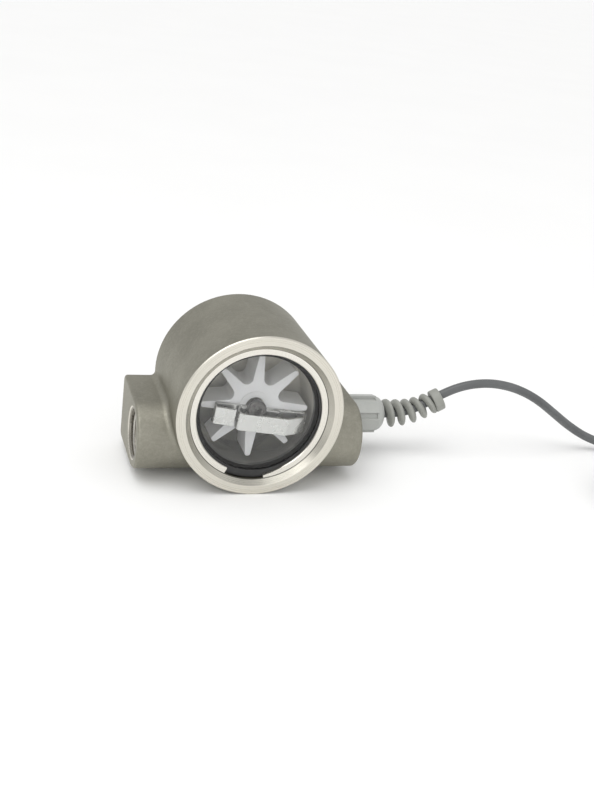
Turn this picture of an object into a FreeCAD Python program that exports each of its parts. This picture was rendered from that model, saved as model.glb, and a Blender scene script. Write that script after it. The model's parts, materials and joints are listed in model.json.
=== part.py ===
import FreeCAD, Part
import math
import os

import Sketcher
from FreeCAD import Placement, Rotation, Vector

# Sight flow indicator with a paddle wheel and a sensor cable, in millimetres.
#
# Frame: +X from port to port, -Y out of the window, +Z up. The origin is under the middle of the
# barrel, on the surface that it stands on. Most parts lie on the barrel's axis, so each one is drawn
# in the barrel's frame: Y is the depth behind the window rim, and Z is the height above the axis.

DIMENSIONS = (
    ("barrel_radius", 42.5, "barrel and window rim, outer radius"),
    ("barrel_length", 65.0, "barrel, front rim to rear face"),
    ("port_reach", 58.7, "port end faces, from the middle"),
    ("port_depth", 26.5, "port axis, behind the rim"),
    ("port_drop", 20.4, "port axis, below the barrel axis"),
    ("boss_radius", 17.8, "rounded front of the port block"),
    ("block_back", 63.4, "rear face of the port block, behind the rim"),
    ("thread_radius", 12.2, "port thread, 3/4 inch pipe, minor radius"),
    ("thread_length", 17.0, "port thread, length with its lead-in"),
    ("mouth_radius", 13.7, "port lead-in chamfer, outer radius"),
    ("passage_radius", 9.0, "flow passage into the chamber"),
    ("rim_inner_radius", 37.8, "inner edge of the flat rim"),
    ("seat_radius", 35.0, "bore that the window sits in"),
    ("ring_groove_radius", 36.4, "groove of the front retaining ring"),
    ("ring_front", 2.9, "front retaining ring, depth of its front"),
    ("ring_thickness", 1.5, "front retaining ring"),
    ("ring_inner_radius", 32.0, "front retaining ring"),
    ("gasket_front", 4.5, "window gasket, depth of its front"),
    ("gasket_inner_radius", 31.0, "window gasket"),
    ("glass_front", 5.5, "window, depth of its front"),
    ("glass_thickness", 3.2, "window"),
    ("o_ring_radius", 1.09, "window O-ring, section radius as fitted"),
    ("o_ring_middle", 33.2, "window O-ring, radius of its centreline"),
    ("chamber_radius", 29.5, "rotor chamber"),
    ("chamber_back", 36.5, "rotor chamber, depth of its rear wall"),
    ("wall_thickness", 4.0, "wall between chamber and sensor compartment"),
    ("boss_front", 32.9, "shaft boss, depth of its face"),
    ("compartment_radius", 33.0, "sensor compartment"),
    ("cover_radius", 39.5, "recess of the rear cover"),
    ("cover_thickness", 3.0, "rear cover plate"),
    ("cover_screw_circle", 36.4, "rear cover screws, pitch radius"),
    ("rotor_radius", 27.6, "rotor, over the blade tips"),
    ("rotor_front", 15.4, "rotor, depth of its front"),
    ("rotor_width", 17.0, "rotor, along its axis"),
    ("bush_radius", 6.5, "rotor bush, outer radius"),
    ("shaft_radius", 5.0, "rotor shaft"),
    ("shaft_clearance", 0.05, "radial running clearance of the rotor"),
    ("washer_radius", 8.0, "thrust washers, outer radius"),
    ("washer_thickness", 0.4, "thrust washers"),
    ("magnet_circle", 9.6, "rotor magnets, pitch radius"),
    ("magnet_radius", 2.0, "rotor magnets"),
    ("magnet_length", 5.0, "rotor magnets"),
    ("strip_thickness", 0.8, "rotor clip, strip thickness"),
    ("strip_width", 8.8, "rotor clip, strip width"),
    ("bend_radius", 1.95, "rotor clip, tight bends at mid-thickness"),
    ("post_circle", 24.0, "sensor board posts, pitch radius"),
    ("board_front", 44.0, "sensor board, depth of its front"),
    ("board_thickness", 1.6, "sensor board"),
    ("board_radius", 30.0, "sensor board"),
    ("gland_depth", 51.5, "gland axis, behind the rim"),
    ("gland_hole_radius", 7.6, "gland thread in the block"),
    ("nut_mouth", 25.2, "gland nut, front end from the port end face"),
    ("cable_radius", 2.5, "cable"),
    ("conductor_radius", 0.65, "insulated conductors of the cable"),
    ("coil_turn_radius", 30.0, "coiled cable, outer column of turns"),
    ("coil_centre_x", 228.0, "coiled cable, place of its centre from port to port"),
    ("coil_centre_y", -53.0, "coiled cable, place of its centre, clear of the port's pipe"),
    ("coil_lift", 0.6, "coiled cable, gap under the lowest turns left by its ties"),
)

# The free cable's route from the gland nut to the coil: +X, +Y, +Z in the part's own frame.
CABLE_ROUTE = (
    (83.9, 19.0, 22.1),
    (95.0, 19.0, 22.1),
    (106.6, 19.0, 26.3),
    (117.6, 19.1, 33.2),
    (129.0, 19.3, 38.4),
    (141.0, 19.2, 40.8),
    (153.0, 18.9, 40.6),
    (166.0, 18.4, 37.6),
    (179.0, 17.9, 31.6),
    (191.0, 17.6, 23.4),
    (203.0, 17.9, 15.0),
    (215.5, 17.4, 8.0),
    (228.0, 14.6, 4.3),
    (239.5, 8.0, 3.2),
    (248.5, -2.0, 3.1),
    (254.6, -14.5, 3.1),
    (258.0, -29.0, 3.1),
    (258.0, -53.0, 3.1),
)

# The bend protector droops a little under the stiffer cable inside it.
PROTECTOR_ROUTE = (
    (83.9, 19.0, 22.1),
    (95.7, 19.0, 22.1),
    (107.7, 19.0, 25.6),
    (118.6, 19.0, 31.6),
)
PROTECTOR_RADII = (8.2, 6.4)
PROTECTOR_BORE = 4.3

# Three conductors inside the sensor compartment, from the end of the jacket to the terminals,
# in the barrel's frame.
CONDUCTOR_ROUTES = tuple(
    (
        (24.0, 51.5 + 1.5 * side, -20.4),
        (16.0, 51.5 + 1.5 * side, -20.4),
        (6.0 + 4.0 * side, 51.0 + 0.8 * side, -13.0),
        (2.0 + 4.5 * side, 49.6, -4.5),
        (2.0 + 4.5 * side, 49.6, 2.0),
    )
    for side in (-1, 0, 1)
)

PARTS_FOLDER = "parts"


class Size:
    """A length together with the sheet expression that gives it."""

    def __init__(self, value, text):
        self.value = value
        self.text = text

    def __add__(self, other):
        other = as_size(other)
        return Size(self.value + other.value, f"({self.text} + {other.text})")

    def __sub__(self, other):
        other = as_size(other)
        return Size(self.value - other.value, f"({self.text} - {other.text})")

    def __mul__(self, factor):
        return Size(self.value * factor, f"({self.text} * {factor})")

    def __neg__(self):
        return Size(-self.value, f"(-{self.text})")


def as_size(number):
    """A bare number counts as a size of its own."""
    if isinstance(number, Size):
        return number
    return Size(float(number), f"({float(number)})")


class Sizes:
    """The driving dimensions, each one an attribute named as in the sheet."""

    def __init__(self, sheet):
        for row, (name, value, note) in enumerate(DIMENSIONS, start=1):
            sheet.set(f"A{row}", note)
            sheet.set(f"B{row}", str(value))
            sheet.setAlias(f"B{row}", name)
            setattr(self, name, Size(value, f"Sizes.{name}"))


doc = FreeCAD.newDocument("sight_flow_indicator")
sheet = doc.addObject("Spreadsheet::Sheet", "Sizes")
d = Sizes(sheet)
doc.recompute()

AXIS_BASE = (Size(0.0, "0"), -d.barrel_length * 0.5, d.barrel_radius)
GLAND_BASE = (d.port_reach, d.gland_depth - d.barrel_length * 0.5, d.barrel_radius - d.port_drop)
GLASS_BACK = d.glass_front + d.glass_thickness
COMPARTMENT_FRONT = d.chamber_back + d.wall_thickness
COVER_SEAT = d.barrel_length - d.cover_thickness
ROTOR_BACK = d.rotor_front + d.rotor_width
BOARD_BACK = d.board_front + d.board_thickness

sub_parts = []


# ---------------------------------------------------------------- helpers

def bind(target, prop, size):
    """Set a property from the sheet."""
    target.setExpression(prop, as_size(size).text)


def place(target, base, rotation=None):
    """Put a sub-part in the part's frame, with its place bound to the sheet."""
    values = [as_size(part).value for part in base]
    target.Placement = Placement(Vector(*values), rotation or Rotation())
    for letter, part in zip("xyz", base):
        bind(target, f"Placement.Base.{letter}", part)


def new_body(label, base=AXIS_BASE, rotation=None, separate_solids=False):
    body = doc.addObject("PartDesign::Body", label)
    body.Label = label
    body.AllowCompound = separate_solids
    place(body, base, rotation)
    sub_parts.append(body)
    return body


def origin_feature(body, role):
    return next(feature for feature in body.Origin.OriginFeatures if feature.Role == role)


def new_sketch(body, role, offset=(0, 0, 0)):
    """A sketch on one of the body's own planes, moved by an offset in the plane's own axes."""
    sketch = body.newObject("Sketcher::SketchObject", f"{body.Name}_sketch")
    sketch.AttachmentSupport = [(origin_feature(body, role), "")]
    sketch.MapMode = "FlatFace"
    values = [as_size(part).value for part in offset]
    sketch.AttachmentOffset = Placement(Vector(*values), Rotation())
    for letter, part in zip("xyz", offset):
        bind(sketch, f"AttachmentOffset.Base.{letter}", part)
    return sketch


def cross_section(body, depth, x=0, z=0):
    """A sketch square to the barrel's axis at a depth; its normal points out of the window."""
    return new_sketch(body, "XZ_Plane", (x, z, -as_size(depth)))


def pin_vertex(sketch, geometry, vertex, x, y):
    for kind, size in (("DistanceX", as_size(x)), ("DistanceY", as_size(y))):
        index = sketch.addConstraint(Sketcher.Constraint(kind, -1, 1, geometry, vertex, size.value))
        bind(sketch, f"Constraints[{index}]", size)


def add_polygon(sketch, points):
    """A closed outline through points whose coordinates are bound to the sheet."""
    points = [(as_size(x), as_size(y)) for x, y in points]
    first = sketch.GeometryCount
    count = len(points)
    for index, (start_x, start_y) in enumerate(points):
        end_x, end_y = points[(index + 1) % count]
        start = Vector(start_x.value, start_y.value, 0)
        end = Vector(end_x.value, end_y.value, 0)
        sketch.addGeometry(Part.LineSegment(start, end), False)
    for index in range(count):
        following = first + (index + 1) % count
        sketch.addConstraint(Sketcher.Constraint("Coincident", first + index, 2, following, 1))
    for index, (x, y) in enumerate(points):
        pin_vertex(sketch, first + index, 1, x, y)


def add_circle(sketch, x, y, radius):
    x, y, radius = as_size(x), as_size(y), as_size(radius)
    circle = Part.Circle(Vector(x.value, y.value, 0), Vector(0, 0, 1), radius.value)
    index = sketch.addGeometry(circle, False)
    pin_vertex(sketch, index, 3, x, y)
    constraint = sketch.addConstraint(Sketcher.Constraint("Radius", index, radius.value))
    bind(sketch, f"Constraints[{constraint}]", radius)


def add_hexagon(sketch, across_flats, turn=0.0):
    """A regular hexagon about the sketch's origin."""
    corner = across_flats * (0.5 / math.cos(math.pi / 6))
    angles = [math.radians(turn + 60 * side) for side in range(6)]
    add_polygon(sketch, [(corner * math.cos(angle), corner * math.sin(angle)) for angle in angles])


def revolved(body, sketch, axis="H_Axis", angle=360.0, cut=False):
    kind = "PartDesign::Groove" if cut else "PartDesign::Revolution"
    feature = body.newObject(kind, f"{body.Name}_turned")
    feature.Profile = sketch
    feature.ReferenceAxis = (sketch, [axis])
    feature.Angle = angle
    return feature


def pad(body, sketch, length, reverse=False, both_ways=False):
    feature = body.newObject("PartDesign::Pad", f"{body.Name}_pad")
    feature.Profile = sketch
    feature.Reversed = reverse
    feature.SideType = "Symmetric" if both_ways else "One side"
    bind(feature, "Length", length)
    return feature


def pocket(body, sketch, length, reverse=False, both_ways=False):
    """A cut against the sketch's normal, or along it when reversed. It has to remove something."""
    before = volume_of(body)
    feature = body.newObject("PartDesign::Pocket", f"{body.Name}_pocket")
    feature.Profile = sketch
    feature.Reversed = reverse
    feature.SideType = "Symmetric" if both_ways else "One side"
    bind(feature, "Length", length)
    doc.recompute()
    if not body.Shape.Volume < before - 1e-3:
        raise RuntimeError(f"{body.Label}: a pocket removed nothing")
    return feature


def volume_of(body):
    doc.recompute()
    return body.Shape.Volume


def ring_of(body, features, count, role="Y_Axis"):
    """Repeat features evenly about one of the body's own axes."""
    pattern = body.newObject("PartDesign::PolarPattern", f"{body.Name}_pattern")
    pattern.Originals = features
    pattern.Axis = (origin_feature(body, role), [""])
    pattern.Angle = 360
    pattern.Occurrences = count
    body.Tip = pattern
    return pattern


def dress(body, kind, size, wanted):
    """Fillet or chamfer the edges that a test picks out."""
    doc.recompute()
    names = [
        f"Edge{number}"
        for number, edge in enumerate(body.Tip.Shape.Edges, start=1)
        if wanted(edge)
    ]
    if not names:
        raise RuntimeError(f"{body.Label}: no edge to dress")
    base = body.Tip
    feature = body.newObject(f"PartDesign::{kind}", f"{body.Name}_{kind.lower()}")
    feature.Base = (base, names)
    bind(feature, "Radius" if kind == "Fillet" else "Size", size)
    return feature


def turned(label, points, base=AXIS_BASE, rotation=None, angle=360.0):
    """A part turned about the barrel's axis from (depth, radius) points."""
    body = new_body(label, base, rotation)
    sketch = new_sketch(body, "YZ_Plane")
    add_polygon(sketch, points)
    revolved(body, sketch, angle=angle)
    return body


def turned_on_gland(label, points):
    """A part turned about the gland's axis from (distance from the end face, radius) points."""
    body = new_body(label, GLAND_BASE)
    sketch = new_sketch(body, "XZ_Plane")
    add_polygon(sketch, points)
    revolved(body, sketch)
    return body


def tube_block(start, end, inner, outer):
    """The outline of a plain ring between two depths and two radii."""
    return ((start, inner), (start, outer), (end, outer), (end, inner))


def torus(label, middle, section, base, axis):
    ring = doc.addObject("Part::Torus", label)
    ring.Label = label
    bind(ring, "Radius1", middle)
    bind(ring, "Radius2", section)
    place(ring, base, Rotation(Vector(0, 0, 1), axis))
    sub_parts.append(ring)
    return ring


def rounded_wire(points, report=None):
    """Straight runs joined by tangent arcs, each as large as its two runs allow."""
    points = [Vector(*point) for point in points]
    edges = []
    radii = []
    start = points[0]
    for before, corner, after in zip(points, points[1:], points[2:]):
        arriving = (corner - before).normalize()
        leaving = (after - corner).normalize()
        turn = arriving.getAngle(leaving)
        setback = 0.45 * min((corner - before).Length, (after - corner).Length)
        radii.append(setback / math.tan(turn / 2))
        arc_start = corner - arriving * setback
        arc_end = corner + leaving * setback
        inward = (leaving - arriving).normalize()
        rise = radii[-1] / math.cos(turn / 2) - radii[-1]
        edges.append(Part.LineSegment(start, arc_start).toShape())
        edges.append(Part.Arc(arc_start, corner + inward * rise, arc_end).toShape())
        start = arc_end
    edges.append(Part.LineSegment(start, points[-1]).toShape())
    if report:
        print(report, "bend radii:", ", ".join(f"{radius:.0f}" for radius in radii))
    return Part.Wire(edges)


def round_section(points, radius):
    """A circle square to the route's first run, at its start."""
    start = Vector(*points[0])
    return Part.Wire(Part.makeCircle(radius, start, Vector(*points[1]) - start))


def round_tube(points, radius, report=None):
    """A round solid along a route; its volume has to be its section times its length."""
    path = rounded_wire(points, report)
    solid = path.makePipeShell([round_section(points, radius)], True, False)
    expected = math.pi * radius ** 2 * path.Length
    if abs(solid.Volume / expected - 1) > 0.01:
        raise RuntimeError(f"tube volume {solid.Volume:.1f}, expected {expected:.1f}")
    if report:
        print(report, f"length {path.Length:.1f}")
    return solid


def free_shape(label, shape, base=(0, 0, 0)):
    """A sub-part whose shape follows a free route."""
    feature = doc.addObject("Part::Feature", label)
    feature.Label = label
    feature.Shape = shape
    place(feature, base)
    sub_parts.append(feature)
    return feature


# ---------------------------------------------------------------- body casting

def make_body():
    """Barrel, port block, window seat, rotor chamber, sensor compartment and the two ports."""
    body = new_body("body")
    low = -d.port_drop - d.boss_radius
    high = -d.port_drop + d.boss_radius

    sketch = new_sketch(body, "YZ_Plane")
    add_polygon(sketch, (
        (d.port_depth, low), (d.block_back, low), (d.block_back, high), (d.port_depth, high),
    ))
    pad(body, sketch, d.port_reach * 2, both_ways=True)
    sketch = new_sketch(body, "YZ_Plane")
    add_circle(sketch, d.port_depth, -d.port_drop, d.boss_radius)
    pad(body, sketch, d.port_reach * 2, both_ways=True)

    def block_rear_edge(edge):
        middle = edge.CenterOfMass
        along_block = abs(edge.BoundBox.XLength - 2 * d.port_reach.value) < 0.01
        return along_block and abs(middle.y - d.block_back.value) < 0.01

    dress(body, "Fillet", 4.0, block_rear_edge)

    def block_end_edge(edge):
        on_face = abs(abs(edge.CenterOfMass.x) - d.port_reach.value) < 0.01
        return on_face and edge.BoundBox.XLength < 0.01

    dress(body, "Fillet", 1.5, block_end_edge)

    sketch = new_sketch(body, "YZ_Plane")
    add_polygon(sketch, (
        (0, 0), (0, d.barrel_radius - 0.5), (0.5, d.barrel_radius),
        (d.barrel_length - 1.2, d.barrel_radius), (d.barrel_length, d.barrel_radius - 1.2),
        (d.barrel_length, 0),
    ))
    revolved(body, sketch)

    def barrel_joint(edge):
        """Where the block's faces run into the barrel's round side."""
        spot = edge.valueAt((edge.FirstParameter + edge.LastParameter) / 2)
        on_barrel = abs(math.hypot(spot.x, spot.z) - d.barrel_radius.value) < 0.05
        return on_barrel and abs(spot.x) > 1.0 and 1.0 < spot.y < d.block_back.value + 0.1

    dress(body, "Fillet", 3.0, barrel_joint)

    ring_front = d.ring_front - 0.05
    ring_back = d.ring_front + d.ring_thickness + 0.05
    groove_back = GLASS_BACK + 2.2
    groove_outer = d.o_ring_middle + 1.4
    groove_inner = d.o_ring_middle - 1.4
    sketch = new_sketch(body, "YZ_Plane")
    add_polygon(sketch, (
        (0, 0), (0, d.rim_inner_radius), (ring_front, d.seat_radius),
        (ring_front, d.ring_groove_radius), (ring_back, d.ring_groove_radius),
        (ring_back, d.seat_radius), (GLASS_BACK, d.seat_radius),
        (GLASS_BACK, groove_outer), (groove_back, groove_outer),
        (groove_back, groove_inner), (GLASS_BACK, groove_inner),
        (GLASS_BACK, d.chamber_radius), (d.chamber_back, d.chamber_radius),
        (d.chamber_back, d.washer_radius), (d.boss_front, d.washer_radius),
        (d.boss_front, 3.0), (d.boss_front + 5.0, 3.0), (d.boss_front + 5.0, 0),
    ))
    revolved(body, sketch, cut=True)

    sketch = new_sketch(body, "YZ_Plane")
    add_polygon(sketch, (
        (d.barrel_length, 0), (d.barrel_length, d.cover_radius), (COVER_SEAT, d.cover_radius),
        (COVER_SEAT, d.compartment_radius), (COMPARTMENT_FRONT, d.compartment_radius),
        (COMPARTMENT_FRONT, 0),
    ))
    revolved(body, sketch, cut=True)

    half_bore = []
    for x, radius in (
        (d.port_reach, d.mouth_radius),
        (d.port_reach - 1.5, d.thread_radius),
        (d.port_reach - d.thread_length, d.thread_radius),
        (d.port_reach - d.thread_length - 1.8, d.passage_radius),
    ):
        half_bore.append((x, radius))
    mirrored = [(-x, radius) for x, radius in reversed(half_bore)]
    sketch = cross_section(body, d.port_depth, z=-d.port_drop)
    add_polygon(sketch, [(d.port_reach, 0)] + half_bore + mirrored + [(-d.port_reach, 0)])
    revolved(body, sketch, cut=True)

    sketch = cross_section(body, d.gland_depth, z=-d.port_drop)
    add_polygon(sketch, (
        (15, 0), (15, d.gland_hole_radius), (d.port_reach - 0.8, d.gland_hole_radius),
        (d.port_reach, d.gland_hole_radius + 0.8), (d.port_reach, 0),
    ))
    revolved(body, sketch, cut=True)

    sketch = cross_section(body, COVER_SEAT)
    add_circle(sketch, d.cover_screw_circle, 0, 1.25)
    screw_hole = pocket(body, sketch, 8.0, reverse=True)
    ring_of(body, [screw_hole], 4)

    sketch = cross_section(body, d.board_front)
    add_circle(sketch, 0, d.post_circle, 3.0)
    post = pad(body, sketch, d.board_front - COMPARTMENT_FRONT + 0.5)
    sketch = cross_section(body, d.board_front)
    add_circle(sketch, 0, d.post_circle, 1.25)
    post_hole = pocket(body, sketch, 5.0, reverse=True)
    ring_of(body, [post, post_hole], 3)


# ---------------------------------------------------------------- window

def make_window():
    glass_edge = d.seat_radius - 0.3
    chamfer = 0.6
    turned("window_glass", (
        (d.glass_front, 0), (d.glass_front, glass_edge - chamfer),
        (d.glass_front + chamfer, glass_edge), (GLASS_BACK - chamfer, glass_edge),
        (GLASS_BACK, glass_edge - chamfer), (GLASS_BACK, 0),
    ))
    turned("window_gasket", tube_block(
        d.gasket_front, d.glass_front, d.gasket_inner_radius, d.seat_radius - 0.15,
    ))
    torus(
        "window_o_ring", d.o_ring_middle, d.o_ring_radius,
        (0, GLASS_BACK + 1.1 - d.barrel_length * 0.5, d.barrel_radius), Vector(0, 1, 0),
    )
    make_retaining_ring()


def make_retaining_ring():
    """An open spring ring: its gap is at the bottom, and the tail beside the gap is tapered."""
    ring_back = d.ring_front + d.ring_thickness
    ring_outer = d.ring_groove_radius - 0.1
    soft = 0.35
    sweep = 325.5
    ring = turned(
        "front_retaining_ring",
        (
            (d.ring_front, d.ring_inner_radius + soft), (d.ring_front, ring_outer),
            (ring_back, ring_outer), (ring_back, d.ring_inner_radius),
            (d.ring_front + soft, d.ring_inner_radius),
        ),
        rotation=Rotation(Vector(0, 1, 0), -154.5),
        angle=sweep,
    )
    tail = math.radians(90 - sweep)

    def polar(radius, degrees_back):
        angle = tail + math.radians(degrees_back)
        return radius * math.cos(angle), radius * math.sin(angle)

    sketch = cross_section(ring, d.ring_front - 0.5)
    add_polygon(sketch, (
        polar(30.5, -3), polar(33.9, -3), polar(33.7, 0), polar(33.0, 8), polar(32.4, 16),
        polar(31.9, 24), polar(30.5, 24),
    ))
    pocket(ring, sketch, d.ring_thickness + 1.0)


# ---------------------------------------------------------------- rotor and its shaft

def make_rotor():
    """Eight blades on one hub, left by eight U-shaped gaps in a disc."""
    body = new_body("rotor", rotation=Rotation(Vector(0, 1, 0), -20.5))
    sketch = cross_section(body, d.rotor_front)
    add_circle(sketch, 0, 0, d.rotor_radius)
    add_circle(sketch, 0, 0, d.bush_radius)
    pad(body, sketch, d.rotor_width, reverse=True)

    sketch = cross_section(body, d.rotor_front)
    gap_centre = 16.1
    gap_radius = 3.4
    flank_angle = math.radians(28.8)
    flank_reach = 34.0
    tangent_x = gap_centre - gap_radius * math.sin(flank_angle)
    tangent_y = gap_radius * math.cos(flank_angle)
    flank_end_y = tangent_y + (flank_reach - tangent_x) * math.tan(flank_angle)
    root = Part.ArcOfCircle(
        Part.Circle(Vector(gap_centre, 0, 0), Vector(0, 0, 1), gap_radius),
        math.pi / 2 + flank_angle, 3 * math.pi / 2 - flank_angle,
    )
    corners = (
        Vector(tangent_x, -tangent_y, 0), Vector(flank_reach, -flank_end_y, 0),
        Vector(flank_reach, flank_end_y, 0), Vector(tangent_x, tangent_y, 0),
    )
    sketch.addGeometry(root, False)
    for start, end in zip(corners, corners[1:]):
        sketch.addGeometry(Part.LineSegment(start, end), False)
    for geometry in range(4):
        following = (geometry + 1) % 4
        sketch.addConstraint(Sketcher.Constraint("Coincident", geometry, 2, following, 1))
    radius = sketch.addConstraint(Sketcher.Constraint("Radius", 0, gap_radius))
    bind(sketch, f"Constraints[{radius}]", gap_radius)
    pin_vertex(sketch, 0, 3, gap_centre, 0)
    pin_vertex(sketch, 1, 2, flank_reach, -flank_end_y)
    pin_vertex(sketch, 2, 2, flank_reach, flank_end_y)
    gap = pocket(body, sketch, d.rotor_width)
    ring_of(body, [gap], 8)

    sketch = cross_section(body, ROTOR_BACK)
    magnet_angle = math.radians(22.5)
    add_circle(
        sketch, d.magnet_circle * math.cos(magnet_angle),
        d.magnet_circle * math.sin(magnet_angle), d.magnet_radius,
    )
    magnet_pocket = pocket(body, sketch, d.magnet_length, reverse=True)
    ring_of(body, [magnet_pocket], 4)

    def tip_edge(edge):
        middle = edge.CenterOfMass
        along = abs(edge.BoundBox.YLength - d.rotor_width.value) < 0.01
        return along and abs(math.hypot(middle.x, middle.z) - d.rotor_radius.value) < 0.05

    dress(body, "Fillet", 1.0, tip_edge)

    turned("rotor_bush", tube_block(
        d.rotor_front, ROTOR_BACK, d.shaft_radius + d.shaft_clearance, d.bush_radius,
    ))

    magnets = new_body(
        "rotor_magnets", rotation=Rotation(Vector(0, 1, 0), -20.5), separate_solids=True,
    )
    sketch = cross_section(magnets, ROTOR_BACK)
    add_circle(
        sketch, d.magnet_circle * math.cos(magnet_angle),
        d.magnet_circle * math.sin(magnet_angle), d.magnet_radius,
    )
    magnet = pad(magnets, sketch, d.magnet_length)
    ring_of(magnets, [magnet], 4)


def make_shaft():
    shaft_front = d.rotor_front - 0.6
    turned("rotor_shaft", (
        (shaft_front, 2.5), (shaft_front, d.shaft_radius), (d.boss_front, d.shaft_radius),
        (d.boss_front, 3.0), (d.boss_front + 4.9, 3.0), (d.boss_front + 4.9, 0),
        (shaft_front + 11.6, 0), (shaft_front + 10.6, 2.5),
    ))
    washer_bore = d.shaft_radius + d.shaft_clearance
    for label, front in (
        ("front_thrust_washer", shaft_front + 0.1),
        ("rear_thrust_washer", ROTOR_BACK + 0.05),
    ):
        turned(label, tube_block(
            front, front + d.washer_thickness, washer_bore, d.washer_radius,
        ))

    head_front = shaft_front - 4.8
    head_back = shaft_front - 1.8
    screw = turned("clip_screw", (
        (head_front, 0), (head_front, 4.3), (head_front + 0.5, 4.8), (head_back, 4.8),
        (head_back, 2.45), (shaft_front + 9.6, 2.45), (shaft_front + 10.1, 1.9),
        (shaft_front + 10.1, 0),
    ))
    sketch = cross_section(screw, head_front)
    add_hexagon(sketch, 4.0, turn=12.0)
    pocket(screw, sketch, 2.0)


def make_clip():
    """A formed strip: straight rear leg, looped ends, and a front leg folded back on itself.

    The front leg sits lower than the rear leg, so the strip's two long edges slope forward.
    """
    body = new_body("rotor_clip", rotation=Rotation(Vector(0, 1, 0), 7.0))
    rear = d.rotor_front.value - 1.0
    inner = rear - 0.95
    front = inner - 2 * d.bend_radius.value - 0.2
    corners = (
        (12.7, inner, 0), (-8.95, inner, d.bend_radius), (-8.95, front, d.bend_radius),
        (17.0, front, 2.4), (26.9, rear - 2.4, 1.0), (26.7, rear, 1.0),
        (-21.2, rear, 1.2), (-20.6, rear - 2.7, 1.2), (-10.2, rear - 3.1, 0),
    )
    spine = new_sketch(body, "XY_Plane", (0, 0, -7))
    draw_rounded_path(spine, corners)

    section = new_sketch(body, "YZ_Plane", (0, 0, corners[0][0]))
    half_thickness = d.strip_thickness * 0.5
    add_polygon(section, (
        (-half_thickness + inner, -17), (half_thickness + inner, -17),
        (half_thickness + inner, 3), (-half_thickness + inner, 3),
    ))
    pipe = body.newObject("PartDesign::AdditivePipe", "rotor_clip_pipe")
    pipe.Profile = section
    pipe.Spine = spine
    body.Tip = pipe

    slope = 3.0 / 5.9
    near, far = front - 3.0, rear + 3.0
    rear_top = 0.4
    rear_face = rear + half_thickness.value

    def top_at(depth):
        return rear_top - slope * (rear_face - depth)

    sketch = new_sketch(body, "YZ_Plane")
    add_polygon(sketch, (
        (near, top_at(near)), (far, top_at(far)), (far, 6), (near, 6),
    ))
    add_polygon(sketch, (
        (near, -d.strip_width + top_at(near)), (near, -22), (far, -22),
        (far, -d.strip_width + top_at(far)),
    ))
    pocket(body, sketch, 80.0, both_ways=True)

    sketch = cross_section(body, d.rotor_front)
    add_circle(sketch, 0, 0, 2.6)
    pocket(body, sketch, 3.0, reverse=True)


def join_tangent(sketch, first, second):
    """Two open ends, each a geometry and its vertex, meet and run on smoothly."""
    sketch.addConstraint(Sketcher.Constraint("Tangent", *first, *second))


def draw_rounded_path(sketch, corners):
    """An open path of lines joined by tangent arcs; each corner is (x, y, bend radius)."""
    points = [Vector(x, y, 0) for x, y, _ in corners]
    start = points[0]
    previous = None
    for number, (_, _, bend) in enumerate(corners[1:-1], start=1):
        here = points[number]
        arriving = (here - points[number - 1]).normalize()
        leaving = (points[number + 1] - here).normalize()
        half_turn = arriving.getAngle(leaving) / 2
        bend = as_size(bend)
        arc_start = here - arriving * (bend.value * math.tan(half_turn))
        arc_end = here + leaving * (bend.value * math.tan(half_turn))
        inward = (leaving - arriving).normalize()
        middle = here + inward * (bend.value / math.cos(half_turn) - bend.value)
        arc = Part.Arc(arc_start, middle, arc_end)
        if (arc_start - start).Length > 1e-3:
            line = sketch.addGeometry(Part.LineSegment(start, arc_start), False)
            if previous:
                join_tangent(sketch, previous, (line, 1))
            previous = (line, 2)
        index = sketch.addGeometry(arc, False)
        # The sketch stores every arc anticlockwise, so a clockwise one is entered at its end.
        clockwise = arc.toShape().Curve.Axis.z < 0
        join_tangent(sketch, previous, (index, 2 if clockwise else 1))
        radius = sketch.addConstraint(Sketcher.Constraint("Radius", index, bend.value))
        bind(sketch, f"Constraints[{radius}]", bend)
        previous = (index, 1 if clockwise else 2)
        start = arc_end
    last = sketch.addGeometry(Part.LineSegment(start, points[-1]), False)
    join_tangent(sketch, previous, (last, 1))
    pin_vertex(sketch, 0, 1, *corners[0][:2])
    pin_vertex(sketch, last, 2, *corners[-1][:2])


# ---------------------------------------------------------------- sensor compartment

def make_sensor():
    board = new_body("sensor_board")
    sketch = cross_section(board, d.board_front)
    add_circle(sketch, 0, 0, d.board_radius)
    pad(board, sketch, d.board_thickness, reverse=True)
    sketch = cross_section(board, d.board_front)
    add_circle(sketch, 0, d.post_circle, 1.6)
    hole = pocket(board, sketch, d.board_thickness)
    ring_of(board, [hole], 3)

    screws = new_body("board_screws", separate_solids=True)
    sketch = new_sketch(screws, "YZ_Plane", (0, d.post_circle, 0))
    add_polygon(sketch, (
        (39.3, 0), (39.3, 1.2), (BOARD_BACK, 1.2), (BOARD_BACK, 2.75),
        (BOARD_BACK + 1.4, 2.5), (BOARD_BACK + 1.8, 1.6), (BOARD_BACK + 1.8, 0),
    ))
    screw = revolved(screws, sketch)
    ring_of(screws, [screw], 3)

    add_box("hall_sensor", (-2.0, 42.2, d.magnet_circle - 1.5), (4.0, 1.8, 3.0))
    add_box("terminal_block", (-6.1, BOARD_BACK, 2.0), (16.2, 8.0, 8.0))

    wires = [round_tube(route, d.conductor_radius.value) for route in CONDUCTOR_ROUTES]
    free_shape("conductors", Part.makeCompound(wires), AXIS_BASE)


def add_box(label, corner, lengths):
    """A plain block given by its corner in the barrel's frame and its X, Y and Z lengths."""
    block = doc.addObject("Part::Box", label)
    block.Label = label
    for prop, length in zip(("Length", "Width", "Height"), lengths):
        bind(block, prop, length)
    place(block, [as_size(base) + part for base, part in zip(AXIS_BASE, corner)])
    sub_parts.append(block)


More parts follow.
